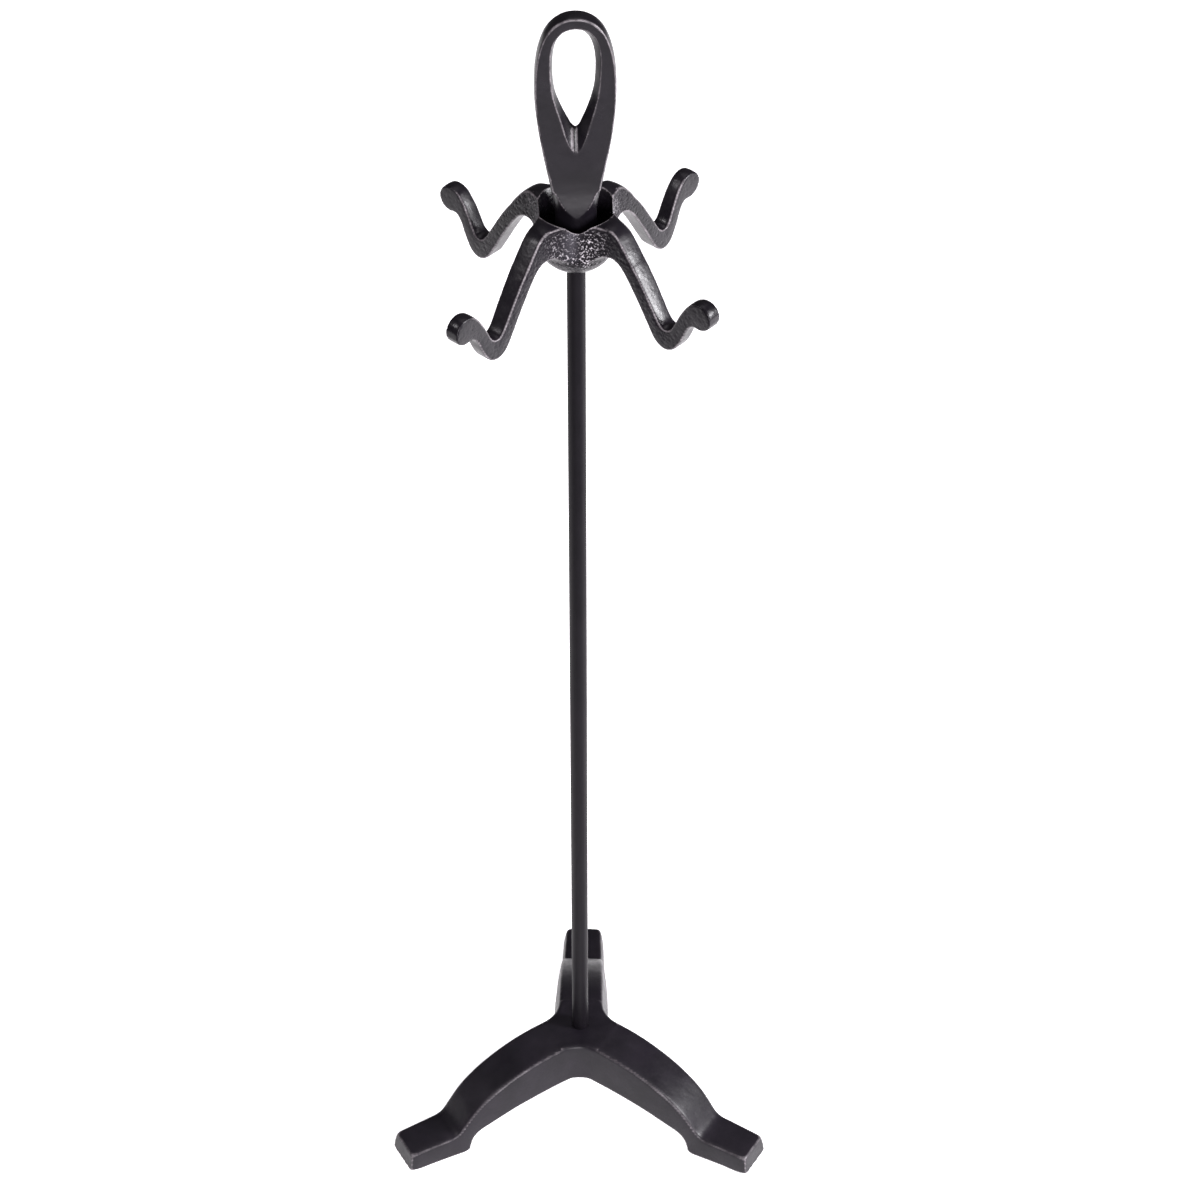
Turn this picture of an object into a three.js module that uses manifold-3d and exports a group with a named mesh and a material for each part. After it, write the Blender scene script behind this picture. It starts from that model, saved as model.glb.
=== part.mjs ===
// Mug tree: three-legged cast base, slim steel rod, four-hook cast crown and a
// cast needle-eye handle that screws down on the crown.
// Millimetres, +Z up. Origin on the floor under the middle of the footprint;
// the rod stands 16 mm towards -Y from it, the single leg points to +Y and the
// other two to 30 degrees below the X axis.
import * as THREE from 'three';
import { mergeVertices } from 'three/addons/utils/BufferGeometryUtils.js';
import Module from 'manifold-3d';

const wasm = await Module();
wasm.setup();

// ---- driving dimensions -------------------------------------------------
const GAP = 0.3;              // clearance left between touching pieces
const AXIS_Y = -16.0;         // where the rod's axis stands

const ROD_R = 3.0;            // 6 mm round bar
const SPIGOT_R = 2.5;         // M5 end of the bar
const SPIGOT_HOLE_R = 2.8;
const SOCKET_R = 3.3;         // counterbore that takes the full bar

const LEG_COUNT = 3;
const LEG_SIDE_DRAFT = 0.15;  // sideways growth per mm of depth
const LEG_TOP = [             // crest of a leg, radius / height
  [0, 34.4], [6, 34.4], [11, 34.2], [16, 33.7], [21, 32.8], [26, 31.5], [31, 29.8],
  [35, 28.1], [39, 26.1], [43, 23.7], [46.5, 21.1], [49.5, 18.2], [52.0, 15.2],
  [54.2, 12.3], [56.1, 10.2], [58.4, 9.2], [62, 9.0], [69, 8.8], [74.5, 8.6], [75.7, 8.1],
];
const LEG_UNDER = [           // underside of a leg, paired with the crest
  [0, 19.0], [5, 19.0], [10, 18.8], [14.5, 18.4], [19, 17.8], [24, 16.9], [28.5, 15.9],
  [32.4, 14.9], [36.4, 13.6], [40.2, 12.2], [43.8, 10.8], [46.7, 9.5], [48.8, 8.0],
  [50.4, 6.0], [51.5, 3.4], [52.3, 1.3], [55, 0.7], [66, 0.7], [75.8, 0.7], [76.6, 1.3],
];
const LEG_WIDTH = [[0, 16.6], [25, 16.4], [40, 15.9], [52, 15.2], [60, 14.4], [74, 13.8], [76, 12.4]];
const CROTCH_R = 13.0;        // fillets between the legs' roots, in plan at the top
const BASE_HUB_TOP = 34.4;
const BASE_HUB_UNDER = 19.0;
const BASE_SEAT_Z = 26.0;     // shoulder of the bar sits here
const PAD_R = 4.5;
const PAD_T = 1.5;
const PAD_AT = 66;            // radius of the pads from the axis
const TOE_FLOOR = 0.7;        // castings stand this far off the floor on their pads

const WASHER_R = 5.0;
const WASHER_T = 1.0;
const NUT_AF = 8.0;
const NUT_T = 4.0;

const CROWN_TURN = 4.1;       // degrees the hooks sit round from the legs' symmetry
const HOOK_LIFT = [0.6, -1.5, -0.6, 1.5]; // as-cast height of each hook's tip against level
const HOOK_REACH = 52;        // radius of the tips
const HUB_FILLET = [          // fillets between the hooks' roots, height / plan radius / half width of a root
  [406, 16.3, 3.15], [391, 15.2, 4.1],
];
const HOOK_TOP = [            // upper (mug side) outline of a hook
  [9.0, 405.1], [12.9, 405.3], [15.0, 405.3], [17.0, 404.9], [18.6, 404.2], [20.3, 402.9], [22.0, 400.9],
  [23.7, 398.7], [25.4, 396.3], [27.0, 394.2], [28.6, 391.9], [30.1, 389.6], [31.5, 387.4],
  [32.9, 385.1], [34.3, 382.8], [35.6, 380.6], [36.7, 378.9], [37.8, 377.8], [39.0, 377.3],
  [40.3, 377.5], [41.5, 378.5], [42.5, 380.3], [43.6, 382.7], [44.6, 384.7], [45.7, 386.7],
  [47.0, 388.6], [48.6, 390.3], [50.4, 391.3], [52.3, 391.6], [54.2, 391.2], [55.8, 390.0],
  [56.7, 388.2],
];
const HOOK_UNDER = [          // lower outline, paired with the upper one
  [9.0, 394.0], [13.0, 394.4], [15.2, 394.9], [17.2, 395.2], [18.6, 395.1], [19.9, 394.6], [21.4, 393.6],
  [22.6, 392.2], [23.9, 390.5], [25.2, 388.6], [26.6, 386.4], [28.0, 384.2], [29.3, 382.0],
  [30.6, 379.8], [31.9, 377.5], [33.2, 375.3], [34.6, 373.0], [36.4, 371.1], [38.8, 370.0],
  [41.2, 370.3], [43.2, 371.7], [44.7, 374.0], [45.9, 376.4], [46.8, 378.6], [47.7, 380.5],
  [48.6, 381.8], [49.7, 382.7], [50.9, 382.8], [52.4, 382.6], [54.2, 383.0], [55.8, 384.2],
  [56.7, 386.0],
];
const HOOK_WIDTH = [[9, 8.8], [13, 8.4], [20, 7.6], [30, 6.8], [38, 6.2], [46, 5.2], [50, 4.9], [60, 4.8]];
const HOOK_DRAFT = [[9, 0.085], [19, 0.075], [28, 0.04], [38, 0.01]]; // how a hook narrows towards its top
const HUB_R = 13.9;           // the hooks start to reach out here
const HUB_UNDER = [           // underside of the hub, radius / height
  [0, 383.9], [4.4, 383.9], [6.6, 384.6], [9.0, 386.2], [10.6, 387.9], [11.6, 389.8], [12.1, 391.5],
  [12.3, 392.3], [13.2, 392.9], [14.2, 394.1], [15.4, 395.0], [17.2, 395.5], [18.6, 395.5], [20.5, 395.2],
];
const HUB_TOP = [[20.5, 402.0], [18.6, 403.7], [17.0, 404.5], [15.0, 405.05], [12.9, 405.15], [0, 405.1]];
const CUP_SEAT_Z = 389.0;     // shoulder of the bar stops here
const DISH_FLOOR_Z = 393.4;
const DISH = [                // bowl in the hub; it breaks out between the hooks
  [0, 393.4], [8.2, 393.4], [9.0, 394.1], [9.7, 395.8], [10.3, 398.0], [10.85, 400.3], [11.4, 402.4],
  [12.1, 404.2], [12.7, 405.3], [13.5, 406.6], [13.5, 410], [0, 410],
];

const SHANK_R = 6.5;
// half widths of the handle at its mid plane, height / half width
const LOOP_OUT = [
  [405.0, 6.5], [409, 7.15], [414, 8.05], [419, 9.0], [424, 9.9], [429, 10.7], [434, 11.45],
  [439, 12.05], [444, 12.42], [449, 12.55], [454, 12.4], [458.5, 11.95], [462, 11.3],
  [465.1, 10.4], [467.7, 9.3], [469.9, 7.8], [471.65, 6.0], [472.9, 3.8], [473.45, 1.9], [473.6, 0],
];
const EYE = [                 // the eye at the mid plane, height / half width
  [434.4, 0], [435.4, 1.1], [437.5, 2.1], [440.2, 3.3], [443.2, 4.45], [446.0, 5.35],
  [449.0, 6.0], [452.5, 6.35], [456.0, 6.45], [459.4, 6.3], [462.4, 5.85], [464.8, 5.1],
  [466.7, 3.9], [468.0, 2.3], [468.4, 0],
];
const EYE_SHIFT = -0.4;       // the eye was cored a little off the middle
// half depth of the handle against height
const LOOP_DEPTH = [
  [404.7, 6.5], [406, 6.35], [407, 6.13], [408, 5.88], [409, 5.6], [410, 5.32], [411, 5.04], [412, 4.78],
  [413.5, 4.48], [415, 4.27], [418, 4.02], [425, 3.75], [440, 3.35], [455, 3.1], [474, 2.95],
];
// how far the eye's edges are dressed back at the faces, height in the eye / setback
const EYE_FLARE = [
  [434.4, 8.0], [437, 5.7], [440, 4.3], [443, 3.5], [446, 2.9], [450, 2.4], [455, 2.0], [462, 1.7], [468.2, 1.6],
];

// ---- helpers --------------------------------------------------------------
const lerpTable = (table, x) => {
  if (x <= table[0][0]) return table[0][1];
  for (let i = 1; i < table.length; i++) {
    if (x <= table[i][0]) {
      const [x0, y0] = table[i - 1];
      const [x1, y1] = table[i];
      return y0 + ((y1 - y0) * (x - x0)) / (x1 - x0);
    }
  }
  return table[table.length - 1][1];
};

function toManifold(geometry) {
  let g = geometry.index ? geometry.toNonIndexed() : geometry.clone();
  for (const key of Object.keys(g.attributes)) if (key !== 'position') g.deleteAttribute(key);
  g = mergeVertices(g, 1e-4);
  const index = [];
  const src = g.index.array;
  for (let i = 0; i < src.length; i += 3) {
    if (src[i] !== src[i + 1] && src[i + 1] !== src[i + 2] && src[i] !== src[i + 2]) {
      index.push(src[i], src[i + 1], src[i + 2]);
    }
  }
  return new wasm.Manifold(new wasm.Mesh({
    numProp: 3,
    vertProperties: new Float32Array(g.attributes.position.array),
    triVerts: new Uint32Array(index),
  }));
}

function toGeometry(solid) {
  const m = solid.getMesh();
  const g = new THREE.BufferGeometry();
  g.setAttribute('position', new THREE.BufferAttribute(new Float32Array(m.vertProperties), 3));
  g.setIndex(new THREE.BufferAttribute(new Uint32Array(m.triVerts), 1));
  g.computeVertexNormals();
  return g;
}

// solid of revolution about Z from [radius, height] points, counter-clockwise, closed on the axis
function turned(points, segments = 48) {
  const g = new THREE.LatheGeometry(points.map(([r, z]) => new THREE.Vector2(r, z)), segments);
  g.rotateX(Math.PI / 2);
  return toManifold(g);
}

function bar(radius, z0, z1, segments = 40) {
  return turned([[0, z0], [radius, z0], [radius, z1], [0, z1]], segments);
}

// closed skin through a row of rings with the same number of points
function skin(rings, closedRow = false) {
  const n = rings[0].length;
  const pos = [];
  for (const ring of rings) for (const p of ring) pos.push(p[0], p[1], p[2]);
  const index = [];
  const rows = rings.length;
  const last = closedRow ? rows : rows - 1;
  for (let i = 0; i < last; i++) {
    const a = i * n;
    const b = ((i + 1) % rows) * n;
    for (let j = 0; j < n; j++) {
      const k = (j + 1) % n;
      index.push(a + j, b + j, b + k, a + j, b + k, a + k);
    }
  }
  if (!closedRow) {
    for (let j = 1; j < n - 1; j++) {
      index.push(0, j, j + 1);
      const e = (rows - 1) * n;
      index.push(e, e + j + 1, e + j);
    }
  }
  const g = new THREE.BufferGeometry();
  g.setAttribute('position', new THREE.BufferAttribute(new Float32Array(pos), 3));
  g.setIndex(index);
  return g;
}

function outwardManifold(geometry) {
  let solid = toManifold(geometry);
  if (solid.volume() < 0) {
    const idx = geometry.index.array.slice();
    for (let i = 0; i < idx.length; i += 3) [idx[i + 1], idx[i + 2]] = [idx[i + 2], idx[i + 1]];
    geometry.setIndex(new THREE.BufferAttribute(new Uint32Array(idx), 1));
    solid = toManifold(geometry);
  }
  return solid;
}

// a cast limb: upper and lower outline in the radial plane, width across it
function limb(top, under, width, corner, draft, narrowing = [[0, 0]]) {
  const rings = top.map((t, i) => {
    const u = under[i];
    const dr = u[0] - t[0];
    const dz = u[1] - t[1];
    const depth = Math.hypot(dr, dz);
    const er = dr / depth;
    const ez = dz / depth;
    const wt = lerpTable(width, t[0]) / 2 - lerpTable(narrowing, t[0]) * depth;
    const wu = lerpTable(width, u[0]) / 2 + draft * depth;
    const slope = (wu - wt) / depth;
    const c = Math.min(corner, depth * 0.3);
    const at = (s, w) => [t[0] + er * s, w, t[1] + ez * s];
    const half = [
      [0, wt - c], [c * 0.3, wt - c * 0.3], [c, wt + slope * c],
      [depth - c, wu - slope * c], [depth - c * 0.3, wu - c * 0.3], [depth, wu - c],
    ];
    return [
      ...half.map(([s, w]) => at(s, w)),
      ...half.slice().reverse().map(([s, w]) => at(s, -w)),
    ];
  });
  return skin(rings);
}

const spun = (solid, degrees) => solid.rotate([0, 0, degrees]);

// ---- base casting -----------------------------------------------------------
// drafted hub with a concave fillet in each corner between two legs
function crotches() {
  const w = lerpTable(LEG_WIDTH, 11) / 2;
  const reach = (w + CROTCH_R) / Math.sin(Math.PI / LEG_COUNT);
  const depth = BASE_HUB_TOP - BASE_HUB_UNDER;
  const rows = [[0, 1.3], [0.4, 0.4], [1.3, 0], [depth - 1.0, 0], [depth - 0.3, 0.3], [depth, 1.0]];
  const rings = rows.map(([down, inset]) => {
    const r = CROTCH_R + inset - LEG_SIDE_DRAFT * down;
    const ring = [];
    for (let k = 0; k < LEG_COUNT; k++) {
      const mid = Math.PI / 2 + ((k + 0.5) * 2 * Math.PI) / LEG_COUNT;
      for (let j = 0; j <= 10; j++) {
        const a = mid + Math.PI + (0.5 - j / 10) * (Math.PI - (2 * Math.PI) / LEG_COUNT);
        ring.push([reach * Math.cos(mid) + r * Math.cos(a), reach * Math.sin(mid) + r * Math.sin(a), BASE_HUB_TOP - down]);
      }
    }
    return ring;
  });
  const solid = skin(rings);
  return outwardManifold(solid);
}

function baseCasting() {
  const leg = outwardManifold(limb(LEG_TOP, LEG_UNDER, LEG_WIDTH, 1.3, LEG_SIDE_DRAFT));
  let body = crotches();
  for (let i = 0; i < LEG_COUNT; i++) body = body.add(spun(leg, 90 + (360 / LEG_COUNT) * i));
  body = body.subtract(bar(SOCKET_R, BASE_SEAT_Z, BASE_HUB_TOP + 5, 40));
  body = body.subtract(bar(SPIGOT_HOLE_R, 5, BASE_HUB_TOP, 40));
  const recess = bar(PAD_R + GAP, -5, PAD_T + GAP, 36);
  for (let i = 0; i < LEG_COUNT; i++) {
    body = body.subtract(spun(recess.translate([PAD_AT, 0, 0]), 90 + (360 / LEG_COUNT) * i));
  }
  return body;
}

// ---- crown casting ------------------------------------------------------------
// four-pointed hub with concave sides that run from one hook's flank to the next
function hub() {
  const rings = HUB_FILLET.map(([z, radius, w]) => {
    const reach = (w + radius) * Math.SQRT2;
    const ring = [];
    for (let k = 0; k < HOOK_LIFT.length; k++) {
      const mid = Math.PI / 2 + (Math.PI / 2) * k;
      for (let j = 0; j <= 12; j++) {
        const a = mid + Math.PI + (0.5 - j / 12) * (Math.PI / 2);
        ring.push([reach * Math.cos(mid) + radius * Math.cos(a), reach * Math.sin(mid) + radius * Math.sin(a), z]);
      }
    }
    return ring;
  });
  // carried straight on to clear the underside
  const low = rings[1].map(([x, y]) => [x, y, 380]);
  return outwardManifold(skin([...rings, low])).intersect(turned([...HUB_UNDER, ...HUB_TOP], 56));
}

function crownCasting() {
  const hook = (lift) => {
    const raised = (line) => line.map(([r, z]) => [r, z + lift * Math.max(0, (r - HUB_R) / (HOOK_REACH - HUB_R))]);
    return outwardManifold(limb(raised(HOOK_TOP), raised(HOOK_UNDER), HOOK_WIDTH, 0.6, 0, HOOK_DRAFT));
  };
  let body = hub();
  HOOK_LIFT.forEach((lift, i) => { body = body.add(spun(hook(lift), 45 + 90 * i)); });
  body = body.subtract(turned(DISH, 56));
  body = body.subtract(bar(SOCKET_R, 380, CUP_SEAT_Z, 40));
  body = body.subtract(bar(SPIGOT_HOLE_R, 380, 400, 40));
  return spun(body, CROWN_TURN);
}

// ---- handle ---------------------------------------------------------------------
function handleCasting() {
  // stations run once round the eye; each joins a point of the outer outline
  // to a point of the eye and carries a flat-faced ring section
  const outer = [];
  const inner = [];
  const right = LOOP_OUT.map(([z, x]) => [x, z]);
  const eyeR = EYE.map(([z, x]) => [x, z]);
  const sample = (line, count) => {
    const len = [0];
    for (let i = 1; i < line.length; i++) {
      len.push(len[i - 1] + Math.hypot(line[i][0] - line[i - 1][0], line[i][1] - line[i - 1][1]));
    }
    const out = [];
    for (let k = 0; k <= count; k++) {
      const s = (len[len.length - 1] * k) / count;
      let i = 1;
      while (i < len.length - 1 && len[i] < s) i++;
      const f = (s - len[i - 1]) / (len[i] - len[i - 1]);
      out.push([
        line[i - 1][0] + (line[i][0] - line[i - 1][0]) * f,
        line[i - 1][1] + (line[i][1] - line[i - 1][1]) * f,
      ]);
    }
    return out;
  };
  const COUNT = 30;
  // the outer line starts inside the shank, on the axis
  const o = sample([[0, LOOP_OUT[1][0]], ...right.slice(1)], COUNT);
  const e = sample(eyeR, COUNT);
  for (let k = 0; k <= COUNT; k++) { outer.push(o[k]); inner.push(e[k]); }
  for (let k = COUNT - 1; k > 0; k--) { outer.push([-o[k][0], o[k][1]]); inner.push([-e[k][0], e[k][1]]); }
  const rings = outer.map((po, k) => {
    const aside = Math.min(1, Math.max(0, (inner[k][1] - 434.4) / 12));
    const pi = [inner[k][0] + EYE_SHIFT * aside, inner[k][1]];
    const lean = aside * Math.max(-1, Math.min(1, inner[k][0] / 4));
    const uneven = 1 + (lean > 0 ? 0.2 : 0.35) * lean;
    const ex = pi[0] - po[0];
    const ez = pi[1] - po[1];
    const len = Math.hypot(ex, ez);
    const ux = ex / len;
    const uz = ez / len;
    const dO = lerpTable(LOOP_DEPTH, po[1]);
    const f = Math.min(lerpTable(EYE_FLARE, pi[1]) * uneven, len * 0.42);
    const faceIn = [pi[0] - ux * f, pi[1] - uz * f];
    const inset = Math.min(0.55 + 0.09 * Math.max(0, 430 - po[1]), 1.8, len * 0.2);
    const faceOut = [po[0] + ux * inset, po[1] + uz * inset];
    const dI = lerpTable(LOOP_DEPTH, faceIn[1]);
    const dF = lerpTable(LOOP_DEPTH, faceOut[1]);
    const across = [0.15, 0.35, 0.65].map((t) => {
      const z = faceOut[1] + (faceIn[1] - faceOut[1]) * t;
      return [faceOut[0] + (faceIn[0] - faceOut[0]) * t, z, lerpTable(LOOP_DEPTH, z)];
    });
    const half = [
      [po[0] + ux * 0.12, po[1] + uz * 0.12, dO * 0.45],
      [faceOut[0] - ux * inset * 0.45, faceOut[1] - uz * inset * 0.45, dF * 0.86],
      [faceOut[0], faceOut[1], dF],
      ...across,
      [faceIn[0], faceIn[1], dI],
      [pi[0] - ux * f * 0.25, pi[1] - uz * f * 0.25, dI * 0.45],
    ];
    return [
      [po[0], 0, po[1]],
      ...half.map(([x, z, d]) => [x, -d, z]),
      [pi[0], 0, pi[1]],
      ...half.slice().reverse().map(([x, z, d]) => [x, d, z]),
    ];
  });
  const floor = DISH[0][1] + GAP;
  const outline = (z) => lerpTable(LOOP_OUT, z);
  // round shank that swells with the outline and runs out under the two flats
  const shank = turned([
    [0, floor], [SHANK_R - 0.4, floor], [SHANK_R, floor + 0.4], [SHANK_R, 404.7],
    ...[406, 407.5, 409, 410.5].map((z) => [outline(z), z]),
    [outline(412) - 0.35, 412], [outline(413.5) - 1.3, 413.5], [outline(415) - 2.6, 415], [0, 415],
  ], 56);
  const flats = outwardManifold(skin([[380, 8], ...LOOP_DEPTH.slice(0, 11)].map(([z, d]) => (
    [[-20, -d, z], [20, -d, z], [20, d, z], [-20, d, z]]))));
  // the foot of the loop is no wider than the shank it grows out of
  const foot = turned([
    [0, 400], ...[404.7, 406, 407.5, 409, 410.5, 412].map((z) => [outline(z), z]),
    [outline(413) + 0.2, 413], [outline(414) + 2, 414], [20, 416], [20, 480], [0, 480],
  ], 56);
  let body = outwardManifold(skin(rings, true)).intersect(foot);
  body = body.add(shank.intersect(flats));
  body = body.subtract(bar(SPIGOT_HOLE_R, 380, 406.8, 40));
  return spun(body, CROWN_TURN);
}

// ---- the bar and its fixings ------------------------------------------------------
function rod() {
  return turned([
    [0, 11.3], [SPIGOT_R - 0.5, 11.3], [SPIGOT_R, 11.8], [SPIGOT_R, BASE_SEAT_Z + GAP],
    [ROD_R, BASE_SEAT_Z + GAP], [ROD_R, CUP_SEAT_Z - GAP], [SPIGOT_R, CUP_SEAT_Z - GAP],
    [SPIGOT_R, 405.7], [SPIGOT_R - 0.5, 406.2], [0, 406.2],
  ], 48);
}

function washer() {
  const top = BASE_HUB_UNDER - GAP;
  return turned([[0, top - WASHER_T], [WASHER_R, top - WASHER_T], [WASHER_R, top], [0, top]], 40)
    .subtract(bar(SPIGOT_HOLE_R, 5, 30, 40));
}

function nut() {
  const top = BASE_HUB_UNDER - GAP - WASHER_T - GAP;
  const hex = new THREE.Shape();
  const r = NUT_AF / Math.sqrt(3);
  for (let i = 0; i < 6; i++) {
    const a = (Math.PI / 3) * i;
    if (i === 0) hex.moveTo(r * Math.cos(a), r * Math.sin(a));
    else hex.lineTo(r * Math.cos(a), r * Math.sin(a));
  }
  hex.closePath();
  const g = new THREE.ExtrudeGeometry(hex, { depth: NUT_T, bevelEnabled: false });
  g.translate(0, 0, top - NUT_T);
  const crown = turned([
    [0, top - NUT_T], [NUT_AF / 2, top - NUT_T], [r + 0.05, top - NUT_T + 0.5],
    [r + 0.05, top - 0.5], [NUT_AF / 2, top], [0, top],
  ], 48);
  return toManifold(g).intersect(crown).subtract(bar(SPIGOT_HOLE_R, 5, 30, 40));
}

function pad(angle) {
  const disc = turned([
    [0, 0], [PAD_R - 0.2, 0], [PAD_R, 0.2], [PAD_R, PAD_T - 0.2], [PAD_R - 0.2, PAD_T], [0, PAD_T],
  ], 36);
  return spun(disc.translate([PAD_AT, 0, 0]), angle);
}

// ---- assembly -----------------------------------------------------------------------
const IRON = { color: 0x2b292c, roughness: 0.5, metalness: 0.35 };
const finish = {
  base_casting: IRON,
  rod: { color: 0x2e2c30, roughness: 0.42, metalness: 0.4 },
  crown_casting: { color: 0x2c2a2e, roughness: 0.46, metalness: 0.4 },
  loop_handle: { color: 0x302e32, roughness: 0.44, metalness: 0.4 },
  base_washer: { color: 0x8f9296, roughness: 0.38, metalness: 1.0 },
  base_nut: { color: 0x8b8e92, roughness: 0.36, metalness: 1.0 },
  foot_pad: { color: 0x1c1b1c, roughness: 0.92, metalness: 0.0 },
};

const group = new THREE.Group();
group.name = 'mug_tree';
function place(name, solid, look) {
  const mesh = new THREE.Mesh(toGeometry(solid.translate([0, AXIS_Y, 0])), new THREE.MeshStandardMaterial(look));
  mesh.name = name;
  group.add(mesh);
}
place('base_casting', baseCasting(), finish.base_casting);
place('rod', rod(), finish.rod);
place('crown_casting', crownCasting(), finish.crown_casting);
place('loop_handle', handleCasting(), finish.loop_handle);
place('base_washer', washer(), finish.base_washer);
place('base_nut', nut(), finish.base_nut);
place('foot_pad_rear', pad(90), finish.foot_pad);
place('foot_pad_left', pad(210), finish.foot_pad);
place('foot_pad_right', pad(330), finish.foot_pad);

export default group;
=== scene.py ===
import math

import bmesh
import bpy
import numpy as np
from mathutils import Matrix, Vector, noise


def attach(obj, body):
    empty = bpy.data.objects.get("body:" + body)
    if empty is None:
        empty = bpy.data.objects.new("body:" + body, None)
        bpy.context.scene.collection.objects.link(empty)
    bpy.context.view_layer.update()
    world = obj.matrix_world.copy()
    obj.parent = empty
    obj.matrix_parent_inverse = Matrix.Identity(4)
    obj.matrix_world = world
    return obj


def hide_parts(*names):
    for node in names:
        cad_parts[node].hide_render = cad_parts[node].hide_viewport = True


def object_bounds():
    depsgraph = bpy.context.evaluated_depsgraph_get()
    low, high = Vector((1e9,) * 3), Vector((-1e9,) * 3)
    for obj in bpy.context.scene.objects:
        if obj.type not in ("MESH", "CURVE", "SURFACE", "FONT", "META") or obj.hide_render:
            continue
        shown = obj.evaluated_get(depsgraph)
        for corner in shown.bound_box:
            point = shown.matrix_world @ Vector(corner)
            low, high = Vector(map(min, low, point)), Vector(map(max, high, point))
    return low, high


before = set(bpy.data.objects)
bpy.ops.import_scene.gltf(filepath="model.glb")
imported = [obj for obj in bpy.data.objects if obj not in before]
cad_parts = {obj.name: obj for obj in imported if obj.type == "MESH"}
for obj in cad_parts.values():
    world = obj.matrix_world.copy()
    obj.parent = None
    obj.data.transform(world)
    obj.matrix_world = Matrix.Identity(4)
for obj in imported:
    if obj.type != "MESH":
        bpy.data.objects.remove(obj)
CAD_LO, CAD_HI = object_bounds()

# ---------------------------------------------------------------- dimensions
# Millimetres from the rod's axis; put() moves them into the row frame.
AXIS_Y = -16.0
CROWN_TURN = 4.1

LEG_TOP = [
    (0, 34.4), (6, 34.4), (11, 34.2), (16, 33.7), (21, 32.8), (26, 31.5), (31, 29.8),
    (35, 28.1), (39, 26.1), (43, 23.7), (46.5, 21.1), (49.5, 18.2), (52.0, 15.2),
    (54.2, 12.3), (56.1, 10.2), (58.4, 9.2), (62, 9.0), (69, 8.8), (74.5, 8.6), (75.7, 8.1),
]
LEG_UNDER = [
    (0, 19.0), (5, 19.0), (10, 18.8), (14.5, 18.4), (19, 17.8), (24, 16.9), (28.5, 15.9),
    (32.4, 14.9), (36.4, 13.6), (40.2, 12.2), (43.8, 10.8), (46.7, 9.5), (48.8, 8.0),
    (50.4, 6.0), (51.5, 3.4), (52.3, 1.3), (55, 0.7), (66, 0.7), (75.8, 0.7), (76.6, 1.3),
]
LEG_WIDTH = [(0, 16.6), (25, 16.4), (40, 15.9), (52, 15.2), (60, 14.4), (74, 13.8), (76, 12.4)]
LEG_DRAFT = 0.15
CROTCH_R = 13.0
HUB_TOP, HUB_UNDER = 34.4, 19.0
PAD_AT, PAD_R, PAD_T = 66.0, 4.5, 1.5

HOOK_TOP = [
    (9.0, 405.1), (12.9, 405.3), (15.0, 405.3), (17.0, 404.9), (18.6, 404.2), (20.3, 402.9),
    (22.0, 400.9), (23.7, 398.7), (25.4, 396.3), (27.0, 394.2), (28.6, 391.9), (30.1, 389.6),
    (31.5, 387.4), (32.9, 385.1), (34.3, 382.8), (35.6, 380.6), (36.7, 378.9), (37.8, 377.8),
    (39.0, 377.3), (40.3, 377.5), (41.5, 378.5), (42.5, 380.3), (43.6, 382.7), (44.6, 384.7),
    (45.7, 386.7), (47.0, 388.6), (48.6, 390.3), (50.4, 391.3), (52.3, 391.6), (54.2, 391.2),
    (55.8, 390.0), (56.7, 388.2),
]
HOOK_UNDER = [
    (9.0, 394.0), (13.0, 394.4), (15.2, 394.9), (17.2, 395.2), (18.6, 395.1), (19.9, 394.6),
    (21.4, 393.6), (22.6, 392.2), (23.9, 390.5), (25.2, 388.6), (26.6, 386.4), (28.0, 384.2),
    (29.3, 382.0), (30.6, 379.8), (31.9, 377.5), (33.2, 375.3), (34.6, 373.0), (36.4, 371.1),
    (38.8, 370.0), (41.2, 370.3), (43.2, 371.7), (44.7, 374.0), (45.9, 376.4), (46.8, 378.6),
    (47.7, 380.5), (48.6, 381.8), (49.7, 382.7), (50.9, 382.8), (52.4, 382.6), (54.2, 383.0),
    (55.8, 384.2), (56.7, 386.0),
]
HOOK_WIDTH = [(9, 8.8), (13, 8.4), (20, 7.6), (30, 6.8), (38, 6.2), (46, 5.2), (50, 4.9), (60, 4.8)]
HOOK_DRAFT = [(9, 0.085), (19, 0.075), (28, 0.04), (38, 0.01)]
HOOK_LIFT = (0.6, -1.5, -0.6, 1.5)
HOOK_REACH = 52.0
HUB_R = 13.9
HUB_FILLET = [(406, 16.3, 3.15), (391, 15.2, 4.1)]
HUB_BELOW = [
    (0, 383.9), (3.6, 383.9), (4.8, 383.95), (6.6, 384.6), (9.0, 386.2), (10.6, 387.9), (11.6, 389.8), (12.1, 391.5),
    (12.3, 392.3), (13.2, 392.9), (14.2, 394.1), (15.4, 395.0), (17.2, 395.5), (18.6, 395.5), (20.5, 395.2),
]
HUB_ABOVE = [(20.5, 402.0), (18.6, 403.7), (17.0, 404.5), (15.0, 405.05), (12.9, 405.15), (0, 405.1)]
DISH = [
    (0, 393.4), (8.2, 393.4), (8.7, 393.6), (9.0, 394.1), (9.7, 395.8), (10.3, 398.0), (10.85, 400.3), (11.4, 402.4),
    (12.1, 404.2), (12.7, 405.3), (13.5, 406.6), (13.5, 410), (0, 410),
]

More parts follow.
